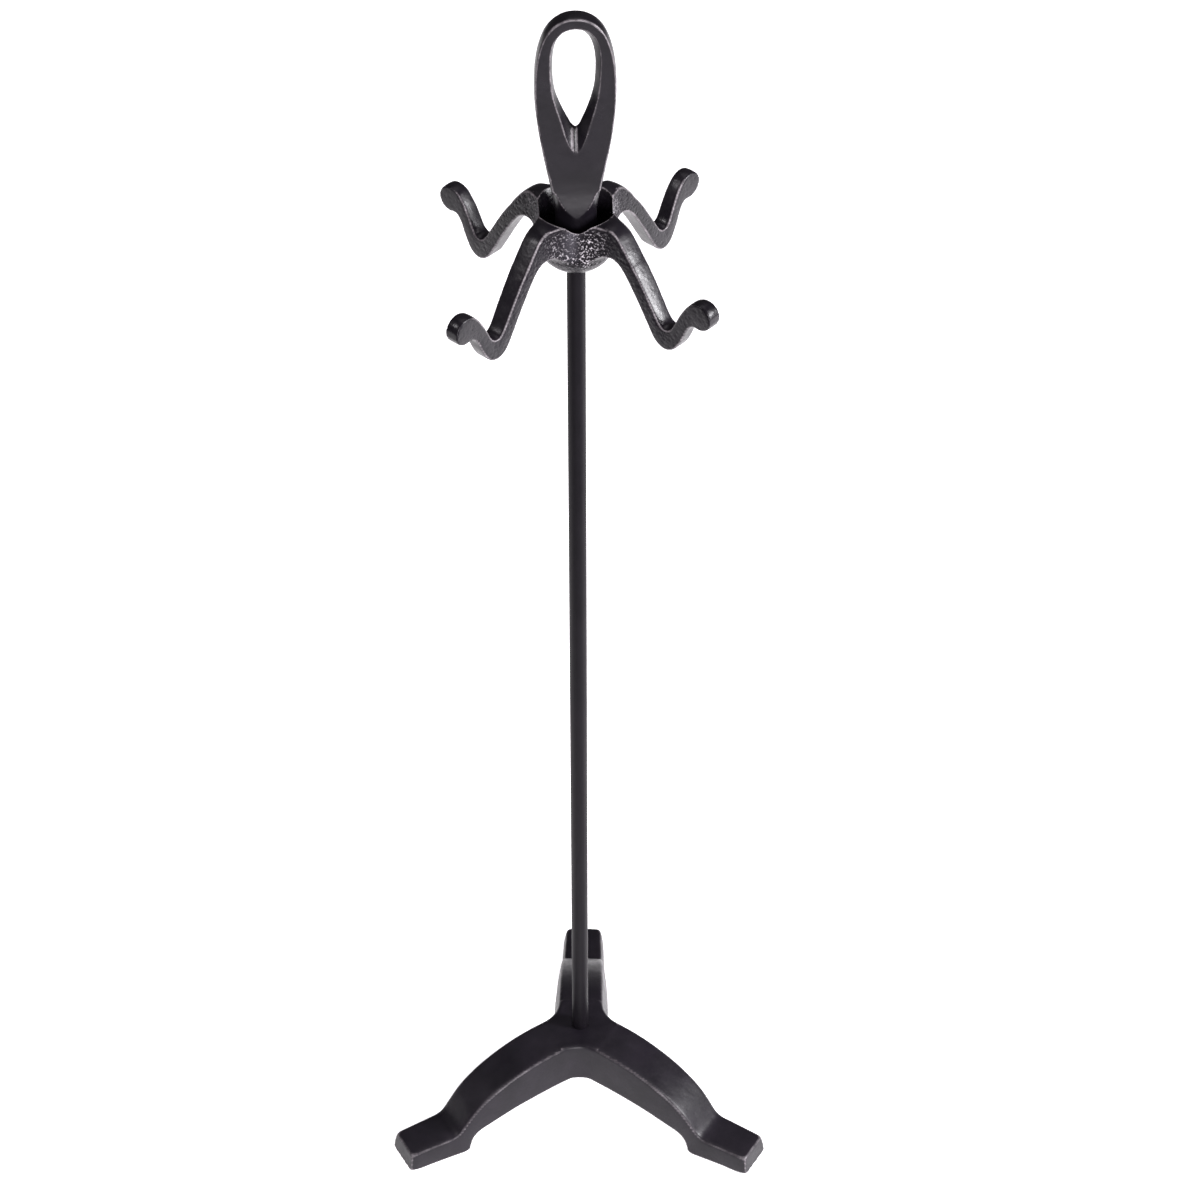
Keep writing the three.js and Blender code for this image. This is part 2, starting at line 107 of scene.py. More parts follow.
LOOP_OUT = [
    (405.0, 6.5), (409, 7.15), (414, 8.05), (419, 9.0), (424, 9.9), (429, 10.7), (434, 11.45),
    (439, 12.05), (444, 12.42), (449, 12.55), (454, 12.4), (458.5, 11.95), (462, 11.3),
    (465.1, 10.4), (467.7, 9.3), (469.9, 7.8), (471.65, 6.0), (472.9, 3.8), (473.45, 1.9), (473.6, 0),
]
EYE = [
    (434.4, 0), (435.4, 1.1), (437.5, 2.1), (440.2, 3.3), (443.2, 4.45), (446.0, 5.35),
    (449.0, 6.0), (452.5, 6.35), (456.0, 6.45), (459.4, 6.3), (462.4, 5.85), (464.8, 5.1),
    (466.7, 3.9), (468.0, 2.3), (468.4, 0),
]
EYE_SHIFT = -0.4
LOOP_DEPTH = [
    (404.7, 6.5), (406, 6.35), (407, 6.13), (408, 5.88), (409, 5.6), (410, 5.32), (411, 5.04), (412, 4.78),
    (413.5, 4.48), (415, 4.27), (418, 4.02), (425, 3.75), (440, 3.35), (455, 3.1), (474, 2.95),
]
EYE_FLARE = [(434.4, 8.0), (437, 5.7), (440, 4.3), (443, 3.5), (446, 2.9), (450, 2.4), (455, 2.0), (462, 1.7), (468.2, 1.6)]
SHANK_R = 6.5
GAP = 0.3


# ------------------------------------------------------------------- helpers
def lerp(table, x):
    xs = [a for a, _ in table]
    ys = [b for _, b in table]
    return float(np.interp(x, xs, ys))


def smooth_line(points, per):
    """Catmull-Rom through the points, `per` steps to each span."""
    p = np.array(points, float)
    q = np.vstack([2 * p[0] - p[1], p, 2 * p[-1] - p[-2]])
    out = []
    for i in range(1, len(q) - 2):
        for k in range(per):
            t = k / per
            a, b, c, d = q[i - 1], q[i], q[i + 1], q[i + 2]
            out.append(0.5 * (2 * b + (c - a) * t + (2 * a - 5 * b + 4 * c - d) * t * t + (3 * b - a - 3 * c + d) * t ** 3))
    out.append(p[-1])
    return np.array(out)


def make(name, verts, faces):
    me = bpy.data.meshes.new(name)
    me.from_pydata([tuple(v) for v in verts], [], [tuple(f) for f in faces])
    me.update()
    bm = bmesh.new()
    bm.from_mesh(me)
    bmesh.ops.remove_doubles(bm, verts=bm.verts, dist=1e-4)
    bmesh.ops.recalc_face_normals(bm, faces=bm.faces)
    bm.to_mesh(me)
    bm.free()
    ob = bpy.data.objects.new(name, me)
    bpy.context.scene.collection.objects.link(ob)
    return ob


def skin(name, rings, closed_row=False):
    n, rows = len(rings[0]), len(rings)
    verts = [p for ring in rings for p in ring]
    faces = []
    for i in range(rows if closed_row else rows - 1):
        a, b = i * n, ((i + 1) % rows) * n
        for j in range(n):
            k = (j + 1) % n
            faces.append((a + j, b + j, b + k, a + k))
    if not closed_row:
        faces.append(tuple(range(n)))
        faces.append(tuple(range((rows - 1) * n, rows * n))[::-1])
    return make(name, verts, faces)


def turned(name, profile, segments=96):
    """Solid of revolution from (radius, height) points that start and end on the axis."""
    body = [p for p in profile if p[0] > 1e-6]
    verts, faces = [], []
    for r, z in body:
        for j in range(segments):
            a = 2 * math.pi * j / segments
            verts.append((r * math.cos(a), r * math.sin(a), z))
    m = len(body)
    for i in range(m - 1):
        for j in range(segments):
            k = (j + 1) % segments
            faces.append((i * segments + j, i * segments + k, (i + 1) * segments + k, (i + 1) * segments + j))
    lo, hi = len(verts), len(verts) + 1
    verts += [(0, 0, profile[0][1]), (0, 0, profile[-1][1])]
    for j in range(segments):
        k = (j + 1) % segments
        faces.append((lo, k, j))
        faces.append((hi, (m - 1) * segments + j, (m - 1) * segments + k))
    return make(name, verts, faces)


def rounded(points, radius, steps=5):
    """Rounds the corners of an open polyline of (r, z) points; the first and last stay."""
    out = [tuple(points[0])]
    for i in range(1, len(points) - 1):
        p, a, b = (np.array(points[i + d], float) for d in (0, -1, 1))
        u, v = a - p, b - p
        lu, lv = np.linalg.norm(u), np.linalg.norm(v)
        r = radius[i] if isinstance(radius, (list, tuple)) else radius
        d = min(r, lu * 0.45, lv * 0.45)
        if d < 1e-4:
            out.append(tuple(p))
            continue
        s, e = p + u / lu * d, p + v / lv * d
        for k in range(steps + 1):
            t = k / steps
            out.append(tuple((1 - t) ** 2 * s + 2 * t * (1 - t) * p + t * t * e))
    out.append(tuple(points[-1]))
    return out


def limb(name, top, under, width, corner, draft, crown, narrowing=((0, 0),), per=5):
    """A cast limb: paired upper and lower outlines in the radial plane, width across it."""
    t_line, u_line = smooth_line(top, per), smooth_line(under, per)
    rings = []
    for t, u in zip(t_line, u_line):
        depth = float(np.hypot(*(u - t)))
        e = (u - t) / depth
        wt = lerp(width, t[0]) / 2 - lerp(narrowing, t[0]) * depth
        wu = lerp(width, u[0]) / 2 + draft * depth
        c = min(corner, depth * 0.3)
        half = []
        for k in range(5):  # crowned upper face
            w = (wt - c) * k / 4
            half.append((-crown * (1 - (w / wt) ** 2) + crown * (1 - ((wt - c) / wt) ** 2), w))
        for k in range(1, 5):
            a = math.pi / 2 * k / 5
            half.append((c * (1 - math.cos(a)), wt - c + c * math.sin(a) + (wu - wt) * c / depth * math.sin(a)))
        for k in range(0, 7):
            s = c + (depth - 2 * c) * k / 6
            half.append((s, wt + (wu - wt) * s / depth + 0.12 * math.sin(math.pi * k / 6)))
        for k in range(1, 5):
            a = math.pi / 2 * k / 5
            half.append((depth - c + c * math.sin(a), wu - c + c * math.cos(a)))
        for k in range(4, 0, -1):
            w = (wu - c) * k / 4
            half.append((depth, w))
        ring = [(half[0][0], 0.0)] + half[1:] + [(depth, 0.0)] + [(s, -w) for s, w in half[1:][::-1]]
        rings.append([(t[0] + e[0] * s, w, t[1] + e[1] * s) for s, w in ring])
    return skin(name, rings)


def spin(ob, degrees):
    ob.data.transform(Matrix.Rotation(math.radians(degrees), 4, "Z"))
    return ob


def apply_modifiers(ob):
    dg = bpy.context.evaluated_depsgraph_get()
    dg.update()
    me = bpy.data.meshes.new_from_object(ob.evaluated_get(dg))
    old = ob.data
    ob.modifiers.clear()
    ob.data = me
    bpy.data.meshes.remove(old)
    return ob


def fuse(name, parts):
    """All the parts as one mesh of overlapping shells."""
    bm = bmesh.new()
    for p in parts:
        bm.from_mesh(p.data)
    me = bpy.data.meshes.new(name)
    bm.to_mesh(me)
    bm.free()
    for p in parts:
        bpy.data.objects.remove(p)
    ob = bpy.data.objects.new(name, me)
    bpy.context.scene.collection.objects.link(ob)
    return ob


def voxel(ob, size):
    m = ob.modifiers.new("voxel", "REMESH")
    m.mode = "VOXEL"
    m.voxel_size = size
    m.adaptivity = 0.0
    return apply_modifiers(ob)


def cut(ob, cutter, op="DIFFERENCE"):
    m = ob.modifiers.new("cut", "BOOLEAN")
    m.operation = op
    m.solver = "MANIFOLD"
    m.object = cutter
    apply_modifiers(ob)
    bpy.data.objects.remove(cutter)
    return ob


def arrays(me):
    co = np.empty(len(me.vertices) * 3)
    me.vertices.foreach_get("co", co)
    ed = np.empty(len(me.edges) * 2, np.int64)
    me.edges.foreach_get("vertices", ed)
    return co.reshape(-1, 3), ed.reshape(-1, 2)


def normals_of(me):
    no = np.empty(len(me.vertices) * 3)
    me.vertices.foreach_get("normal", no)
    return no.reshape(-1, 3)


def mean_of_neighbours(co, ed, count):
    out = np.empty_like(co)
    for i in range(co.shape[1]):
        out[:, i] = np.bincount(ed[:, 0], co[ed[:, 1], i], len(co)) + np.bincount(ed[:, 1], co[ed[:, 0], i], len(co))
    return out / count[:, None]


def relax(ob, steps, convex, concave, every=4):
    """Smooths the mesh, by different amounts on edges that stick out and in corners."""
    me = ob.data
    co, ed = arrays(me)
    count = np.bincount(ed.ravel(), minlength=len(co)).astype(float)
    count[count == 0] = 1
    no = normals_of(me)
    for k in range(steps):
        if k and k % every == 0:
            me.vertices.foreach_set("co", co.ravel())
            me.update()
            no = normals_of(me)
        lap = mean_of_neighbours(co, ed, count) - co
        out = np.einsum("ij,ij->i", lap, no)
        co += lap * np.where(out > 0, concave, convex)[:, None]
    me.vertices.foreach_set("co", co.ravel())
    me.update()
    return ob


def roughen(ob, size, height, seed):
    """Pushes the skin in and out a little along its normals: the wander of a sand mould."""
    me = ob.data
    co, _ = arrays(me)
    no = normals_of(me)
    off = Vector((seed * 17.3, seed * -9.1, seed * 4.7))
    d = np.array([noise.fractal(Vector(c) / size + off, 0.8, 2.1, 3) for c in co])
    co += no * (d * height)[:, None]
    me.vertices.foreach_set("co", co.ravel())
    me.update()
    return ob


def attribute(ob, name, values):
    a = ob.data.attributes.new(name, "FLOAT", "POINT")
    a.data.foreach_set("value", values.astype(np.float32))


def edge_value(ob, spread=2, scale=1.0):
    """0 on flat skin, rising to 1 along edges that stick out."""
    me = ob.data
    co, ed = arrays(me)
    count = np.bincount(ed.ravel(), minlength=len(co)).astype(float)
    count[count == 0] = 1
    lap = mean_of_neighbours(co, ed, count) - co
    length = np.linalg.norm(co[ed[:, 0]] - co[ed[:, 1]], axis=1)
    mean = (np.bincount(ed[:, 0], length, len(co)) + np.bincount(ed[:, 1], length, len(co))) / count
    k = -np.einsum("ij,ij->i", lap, normals_of(me)) / np.maximum(mean, 1e-6) ** 2
    k = k[:, None]
    for _ in range(spread):
        k = 0.5 * k + 0.5 * mean_of_neighbours(k, ed, count)
    return np.clip(k[:, 0] * scale, 0, 1)


def star(name, arms, first, w, radius, rows, steps=16):
    """Hub slab with a concave fillet in plan between neighbouring arms; rows are (z, inset)."""
    sweep = math.pi - 2 * math.pi / arms
    reach = (w + radius) / math.sin(math.pi / arms)
    rings = []
    for z, inset in rows:
        r = radius + inset
        ring = []
        for k in range(arms):
            mid = first + (k + 0.5) * 2 * math.pi / arms
            for j in range(steps + 1):
                a = mid + math.pi + (0.5 - j / steps) * sweep
                ring.append((reach * math.cos(mid) + r * math.cos(a), reach * math.sin(mid) + r * math.sin(a), z))
        rings.append(ring)
    return skin(name, rings)


def put(ob, body, slot, *nodes, sharp=None):
    """Into the row frame, in metres, riding on its body and standing for its CAD nodes."""
    ob.data.transform(Matrix.Scale(0.001, 4) @ Matrix.Translation((0, AXIS_Y, 0)))
    co, _ = arrays(ob.data)
    co = np.clip(co, np.array(CAD_LO), np.array(CAD_HI))
    ob.data.vertices.foreach_set("co", co.ravel())
    ob.data.update()
    ob.data.shade_smooth()
    if sharp is not None:
        ob.data.set_sharp_from_angle(angle=math.radians(sharp))
    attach(ob, body)
    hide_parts(*nodes)
    return ob


# ------------------------------------------------------------- base casting
def build_base():
    parts = []
    for i in range(3):
        parts.append(spin(limb(f"leg{i}", LEG_TOP, LEG_UNDER, LEG_WIDTH, 1.1, LEG_DRAFT, 0.18), 90 + 120 * i))
    depth = HUB_TOP - HUB_UNDER
    rows = [(0, 1.1), (0.3, 0.45), (0.8, 0.12), (1.3, 0), (depth - 1.0, 0), (depth - 0.3, 0.3), (depth, 1.0)]
    w = lerp(LEG_WIDTH, 11) / 2
    parts.append(star("hub", 3, math.pi / 2, w, CROTCH_R, [(HUB_TOP - d, i - LEG_DRAFT * d) for d, i in rows]))
    ob = fuse("base_iron", parts)
    voxel(ob, 0.45)
    relax(ob, 3, 0.4, 0.5)
    relax(ob, 26, 0.015, 0.5)
    roughen(ob, 9.0, 0.05, 1)
    cut(ob, turned("c", [(0, 26.0), (3.06, 26.0), (3.06, 40), (0, 40)], 96))
    cut(ob, turned("c", [(0, 5), (2.7, 5), (2.7, 30), (0, 30)], 64))
    for i in range(3):
        c = turned("c", [(0, -5), (PAD_R + GAP, -5), (PAD_R + GAP, PAD_T + GAP), (0, PAD_T + GAP)], 64)
        c.data.transform(Matrix.Translation((PAD_AT, 0, 0)))
        cut(ob, spin(c, 90 + 120 * i))
    no = normals_of(ob.data)
    co, _ = arrays(ob.data)
    rad = np.hypot(co[:, 0], co[:, 1])
    attribute(ob, "edge", edge_value(ob, 1, 1.8) * np.clip((rad - 4.5) / 2, 0, 1))
    attribute(ob, "grain", np.clip(0.18 - 0.6 * no[:, 2], 0.1, 0.9))
    return ob


# ------------------------------------------------------------ crown casting
def star_hub():
    """Four-pointed hub whose concave sides run from one hook's flank to the next."""
    rings = []
    for z, radius, w in HUB_FILLET + [(380, None, None)]:
        if radius is None:
            rings.append([(x, y, z) for x, y, _ in rings[-1]])
            continue
        reach = (w + radius) * math.sqrt(2)
        ring = []
        for k in range(4):
            mid = math.pi / 2 * (k + 1)
            for j in range(25):
                a = mid + math.pi + (0.5 - j / 24) * math.pi / 2
                ring.append((reach * math.cos(mid) + radius * math.cos(a), reach * math.sin(mid) + radius * math.sin(a), z))
        rings.append(ring)
    return cut(skin("hub", rings), turned("c", HUB_BELOW + HUB_ABOVE, 128), "INTERSECT")


def build_crown():
    parts = [star_hub()]
    for i, lift in enumerate(HOOK_LIFT):
        def raised(line):
            return [(r, z + lift * max(0.0, (r - HUB_R) / (HOOK_REACH - HUB_R))) for r, z in line]
        h = limb(f"hook{i}", raised(HOOK_TOP), raised(HOOK_UNDER), HOOK_WIDTH, 0.4, 0.0, 0.26, HOOK_DRAFT)
        parts.append(spin(h, 45 + 90 * i))
    ob = fuse("crown_iron", parts)
    voxel(ob, 0.4)
    relax(ob, 2, 0.25, 0.5)
    relax(ob, 24, 0.006, 0.5)
    roughen(ob, 5.0, 0.05, 2)
    bowl = smooth_line(DISH[1:-2], 1)
    steps = np.concatenate([[0], np.cumsum(np.linalg.norm(np.diff(bowl, axis=0), axis=1))])
    at = np.linspace(0, steps[-1], 36)
    bowl = [(float(np.interp(t, steps, bowl[:, 0])), float(np.interp(t, steps, bowl[:, 1]))) for t in at]
    cut(ob, turned("c", [(0, bowl[0][1])] + bowl + [(13.5, 410), (0, 410)], 220))
    cut(ob, turned("c", [(0, 380), (3.06, 380), (3.06, 388.95), (0, 388.95)], 96))
    cut(ob, turned("c", [(0, 380), (2.7, 380), (2.7, 400), (0, 400)], 64))
    spin(ob, CROWN_TURN)
    co, _ = arrays(ob.data)
    no = normals_of(ob.data)
    az = np.arctan2(co[:, 1], co[:, 0])
    near = np.round((az - math.radians(45 + CROWN_TURN)) / (math.pi / 2)) * (math.pi / 2) + math.radians(45 + CROWN_TURN)
    side = np.abs(-no[:, 0] * np.sin(near) + no[:, 1] * np.cos(near))
    rad = np.hypot(co[:, 0], co[:, 1])
    wall = np.clip((20 - rad) / 4, 0, 1) * np.clip((404.0 - co[:, 2]) / 1.0, 0, 1) * np.clip(1 - np.abs(no[:, 2]) * 1.2, 0, 1)
    out = np.clip((no[:, 0] * co[:, 0] + no[:, 1] * co[:, 1]) / np.maximum(rad, 1e-6) * 2, 0, 1)
    fade = np.clip((52 - rad) / 30, 0.25, 1)
    grain = np.clip(0.10 + 0.55 * fade * np.clip((side - 0.45) / 0.3, 0, 1) + 0.8 * wall, 0, 1)
    # painted glints: light specks over a coarse, grit-bumped patch to one side of each concave wall and along its foot;
    # a painted sheen, a lighter patch, to the other side
    turn = np.mod(np.degrees(az) - CROWN_TURN + 45, 90) - 45
    glint_patch = wall * out * np.exp(-((turn - 13) / 10.0) ** 2) * np.clip((rad - 10.5) / 0.8, 0, 1)
    glint_patch += 0.5 * wall * out * np.clip((397.0 - co[:, 2]) / 3.0, 0, 1) * np.clip((co[:, 2] - 391.0) / 1.0, 0, 1)
    glint_patch += 0.25 * wall * out
    # painted sheen: a lighter patch on the hub wall standing in for a reflection of the front light
    sheen_patch = wall * out * np.exp(-((turn + 9) / 9.0) ** 2) * np.clip((co[:, 2] - 391.5) / 3, 0, 1)
    attribute(ob, "sheen_patch", np.clip(sheen_patch, 0, 1))
    attribute(ob, "glint_grit", np.clip(glint_patch, 0, 1))
    attribute(ob, "grain", grain)
    # edge lightening on the crown: wear plus painted highlight on rims and the hooks' inner edges, weaker on the tip
    # discs
    edge_wear_highlight = edge_value(ob, 1, 1.5) * np.clip((rad - 5) / 2, 0, 1) * np.clip((53 - rad) / 6, 0.22, 1)
    attribute(ob, "edge", edge_wear_highlight * np.clip((co[:, 2] - 386) / 3, 0, 1) ** np.where(rad < 14, 1, 0))
    return ob


# ------------------------------------------------------------------- handle
def build_handle():
    def sample(line, count):
        p = smooth_line(line, 6)
        s = np.concatenate([[0], np.cumsum(np.linalg.norm(np.diff(p, axis=0), axis=1))])
        t = np.linspace(0, s[-1], count + 1)
        return np.stack([np.interp(t, s, p[:, 0]), np.interp(t, s, p[:, 1])], 1)

    count = 96
    o_line = [(x, z) for z, x in LOOP_OUT]
    foot = np.stack([np.linspace(0, o_line[1][0], 13), np.full(13, o_line[1][1])], 1)[:-1]
    o_pts = smooth_line(o_line[1:], 6)
    full = np.vstack([foot, o_pts])
    s = np.concatenate([[0], np.cumsum(np.linalg.norm(np.diff(full, axis=0), axis=1))])
    t = np.linspace(0, s[-1], count + 1)
    o = np.stack([np.interp(t, s, full[:, 0]), np.interp(t, s, full[:, 1])], 1)
    e = sample([(x, z) for z, x in EYE], count)
    outer = [tuple(p) for p in o] + [(-p[0], p[1]) for p in o[-2:0:-1]]
    inner = [tuple(p) for p in e] + [(-p[0], p[1]) for p in e[-2:0:-1]]
    rings = []
    for po, pi in zip(outer, inner):
        aside = min(1.0, max(0.0, (pi[1] - 434.4) / 12))
        lean = aside * max(-1.0, min(1.0, pi[0] / 4))
        uneven = 1 + (0.2 if lean > 0 else 0.35) * lean
        po, pi = np.array(po), np.array(pi) + (EYE_SHIFT * aside, 0)
        d = pi - po
        length = np.linalg.norm(d)
        u = d / length
        f = min(lerp(EYE_FLARE, pi[1]) * uneven, length * 0.42)
        inset = min(0.55 + 0.09 * max(0.0, 430 - po[1]), 1.8, length * 0.2)
        f_in, f_out = pi - u * f, po + u * inset
        dep = lambda p: lerp(LOOP_DEPTH, p[1])
        d_o, d_f, d_i = dep(po), dep(f_out), dep(f_in)
        half = [(po + u * 0.02, 0.28), (po + u * 0.12, d_o * 0.45), (f_out - u * inset * 0.50, d_f * 0.80), (f_out - u * inset * 0.12, d_f * 0.95), (f_out + u * 0.06, d_f)]
        for k in range(1, 9):
            p = f_out + (f_in - f_out) * k / 9
            half.append((p, dep(p) - 0.10 * math.sin(math.pi * k / 9)))
        half += [(f_in - u * 0.08, d_i), (f_in + u * f * 0.08, d_i * 0.94), (f_in + u * f * 0.35, d_i * 0.68), (pi - u * f * 0.35, d_i * 0.42), (pi - u * f * 0.10, d_i * 0.16)]
        ring = [(po[0], 0.0, po[1])] + [(p[0], -y, p[1]) for p, y in half] + [(pi[0], 0.0, pi[1])]
        ring += [(p[0], y, p[1]) for p, y in half[::-1]]
        rings.append(ring)
    loop = skin("loop", rings, closed_row=True)
    floor = DISH[0][1] + GAP
    out = lambda z: lerp(LOOP_OUT, z)
    heights = [404.7 + 0.5 * i for i in range(15)]
    env = turned("c", [(0, 400)] + [(out(z), z) for z in heights] + [
        (out(413) + 0.2, 413), (out(414) + 2, 414), (20, 416), (20, 480), (0, 480)], 128)
    cut(loop, env, "INTERSECT")
    shank = turned("shank", [
        (0, floor), (SHANK_R - 0.5, floor), (SHANK_R - 0.1, floor + 0.15), (SHANK_R, floor + 0.6),
    ] + [(out(z), z) for z in heights[:13]] + [(out(412) - 0.35, 412), (out(413.5) - 1.3, 413.5), (out(415) - 2.6, 415), (0, 415)], 128)
    side = [(380, 8.0)] + [(z, lerp(LOOP_DEPTH, z)) for z in [404.7 + 0.35 * i for i in range(33)]]
    flats = skin("c", [[(-20, -d, z), (20, -d, z), (20, d, z), (-20, d, z)] for z, d in side])
    cut(shank, flats, "INTERSECT")
    ob = fuse("handle_iron", [loop, shank])
    voxel(ob, 0.27)
    relax(ob, 3, 0.3, 0.5)
    relax(ob, 24, 0.012, 0.5)
    co, ed = arrays(ob.data)
    co[:, 2] += np.clip((co[:, 2] - 440) / 33, 0, 1) * (473.55 - co[:, 2].max())
    ob.data.vertices.foreach_set("co", co.ravel())
    ob.data.update()
    roughen(ob, 6.0, 0.03, 3)
    cut(ob, turned("c", [(0, 380), (2.8, 380), (2.8, 406.8), (0, 406.8)], 64))
    spin(ob, CROWN_TURN)
    co, _ = arrays(ob.data)
    no = normals_of(ob.data)
    turn = math.radians(CROWN_TURN)
    x = co[:, 0] * math.cos(turn) + co[:, 1] * math.sin(turn)
    # two painted highlight streaks down the gutter under the eye, added into the edge lightening
    streak = np.exp(-((x + 1.1) / 0.45) ** 2) + 0.8 * np.exp(-((x - 0.35) / 0.28) ** 2)
    streak *= np.clip((co[:, 2] - 426.5) / 1.0, 0, 1) * np.clip((434.6 - co[:, 2]) / 0.8, 0, 1) * (np.abs(co[:, 1]) < 3.65)
    attribute(ob, "edge", np.clip(edge_value(ob, 1, 1.5) * np.clip((co[:, 2] - 405) / 4, 0, 1) + streak, 0, 1))
    attribute(ob, "grain", np.clip(0.06 + 0.08 * np.abs(no[:, 0]), 0, 1))
    return ob


# --------------------------------------------------------- rod and fixings
def thread(name, z0, z1, radius, depth, pitch, ends):
    """A round bar with a helical thread; profile swept as a fine lathe with a height shift."""
    seg, per = 40, 8
    rows = int((z1 - z0) / pitch * per)
    verts, faces = [], []
    for i in range(rows + 1):
        z = z0 + (z1 - z0) * i / rows
        for j in range(seg):
            a = 2 * math.pi * j / seg
            ph = ((z - z0) / pitch - j / seg) % 1.0
            tri = abs(2 * ph - 1)
            r = radius - depth * min(1.0, max(0.0, (tri - 0.12) / 0.76))
            edge = min(z - z0, z1 - z)
            r = min(r, radius - 0.6 + max(0.0, edge) * 1.2) if edge < 0.5 and ends else r
            verts.append((r * math.cos(a), r * math.sin(a), z))
    for i in range(rows):
        for j in range(seg):
            k = (j + 1) % seg
            faces.append((i * seg + j, i * seg + k, (i + 1) * seg + k, (i + 1) * seg + j))
    faces.append(tuple(range(seg))[::-1])
    faces.append(tuple(range(rows * seg, (rows + 1) * seg)))
    return make(name, verts, faces)


def build_rod():
    bar = turned("bar", rounded([
        (0, 26.3), (3.0, 26.3), (3.0, 388.7), (0, 388.7),
    ], [0, 0.3, 0.3, 0], 4), 96)
    parts = [bar, thread("low", 11.3, 26.5, 2.48, 0.42, 0.8, True), thread("high", 388.5, 406.2, 2.48, 0.42, 0.8, True)]
    return fuse("rod_bar", parts)


def build_washer():
    top = HUB_UNDER - GAP
    prof = rounded([(2.8, top - 1.0), (5.0, top - 1.0), (5.0, top), (2.8, top), (2.8, top - 1.0)], [0, 0.18, 0.18, 0.1, 0], 4)
    seg = 96
    rings = []
    for j in range(seg):
        a = 2 * math.pi * j / seg
        rings.append([(r * math.cos(a), r * math.sin(a), z) for r, z in prof[:-1]])
    return skin("washer_ring", rings, closed_row=True)


def build_nut():
    top = HUB_UNDER - GAP - 1.0 - GAP
    r = 8.0 / math.sqrt(3)
    ring = [(r * math.cos(math.pi / 3 * i), r * math.sin(math.pi / 3 * i)) for i in range(6)]
    body = skin("hex", [[(x, y, top - 4.0) for x, y in ring], [(x, y, top) for x, y in ring]])
    dome = turned("dome", rounded([(0, top - 4.0), (3.75, top - 4.0), (r + 0.02, top - 3.45), (r + 0.02, top - 0.55), (3.75, top), (0, top)], 0.0), 96)
    cut(body, dome, "INTERSECT")
    cut(body, turned("c", [(0, 5), (2.62, 5), (2.62, 30), (0, 30)], 64))
    b = body.modifiers.new("bevel", "BEVEL")
    b.width, b.segments, b.limit_method, b.angle_limit = 0.12, 2, "ANGLE", math.radians(30)
    apply_modifiers(body)
    body.name = "nut_hex"
    return body


def build_pad(name, angle):
    prof = [(0, 0.0), (0.9, 0.0), (1.1, 0.12), (1.3, 0.0), (2.3, 0.0), (2.5, 0.12), (2.7, 0.0), (3.7, 0.0), (4.1, 0.04), (4.4, 0.22), (4.5, 0.5),
            (4.5, 1.15), (4.42, 1.38), (4.25, 1.5), (0, 1.5)]
    ob = turned(name, prof, 72)
    ob.data.transform(Matrix.Translation((PAD_AT, 0, 0)))
    return spin(ob, angle)


# ---------------------------------------------------------------- materials
class Nodes:
    def __init__(self, name):
        self.mat = bpy.data.materials.new(name)
        self.mat.use_nodes = True
        self.t = self.mat.node_tree
        self.bsdf = self.t.nodes["Principled BSDF"]
        self.obj = self.add("ShaderNodeTexCoord").outputs["Object"]

    def add(self, kind, **props):
        n = self.t.nodes.new(kind)
        for k, v in props.items():
            setattr(n, k, v)
        return n

    def link(self, a, b):
        self.t.links.new(a, b)

    def feed(self, socket, value):
        if hasattr(value, "is_output"):
            self.link(value, socket)
        else:
            socket.default_value = value

    def noise(self, scale, detail=3.0, rough=0.55, distortion=0.0, vector=None):
        n = self.add("ShaderNodeTexNoise")
        self.feed(n.inputs["Vector"], vector or self.obj)
        n.inputs["Scale"].default_value = scale
        n.inputs["Detail"].default_value = detail
        n.inputs["Roughness"].default_value = rough
        n.inputs["Distortion"].default_value = distortion
        return n.outputs["Fac"]

    def cells(self, scale, feature="F1"):
        n = self.add("ShaderNodeTexVoronoi", feature=feature)
        self.link(self.obj, n.inputs["Vector"])
        n.inputs["Scale"].default_value = scale
        return n.outputs["Distance"]

    def math(self, op, a, b=0.0, c=0.0, clamp=False):
        n = self.add("ShaderNodeMath", operation=op, use_clamp=clamp)
        for i, v in enumerate((a, b, c)):
            self.feed(n.inputs[i], v)
        return n.outputs[0]

    def ramp(self, value, lo, hi, to_lo=0.0, to_hi=1.0):
        n = self.add("ShaderNodeMapRange", clamp=True)
        self.feed(n.inputs["Value"], value)
        for k, v in (("From Min", lo), ("From Max", hi), ("To Min", to_lo), ("To Max", to_hi)):
            n.inputs[k].default_value = v
        return n.outputs["Result"]

    def mix(self, fac, a, b):
        n = self.add("ShaderNodeMix", data_type="RGBA")
        self.feed(n.inputs["Factor"], fac)
        for socket, v in ((n.inputs[6], a), (n.inputs[7], b)):
            if hasattr(v, "is_output"):
                self.link(v, socket)
            else:
                socket.default_value = (*v, 1.0)
        return n.outputs[2]

    def attr(self, name):
        n = self.add("ShaderNodeAttribute", attribute_name=name)
        return n.outputs["Fac"]

    def bump(self, height, strength, distance, normal=None):
        n = self.add("ShaderNodeBump")
        self.feed(n.inputs["Height"], height)
        self.feed(n.inputs["Strength"], strength)
        n.inputs["Distance"].default_value = distance
        if normal is not None:
            self.link(normal, n.inputs["Normal"])
        return n.outputs["Normal"]

    def set(self, **values):
        for k, v in values.items():
            self.feed(self.bsdf.inputs[k.replace("_", " ")], v)
        return self.mat


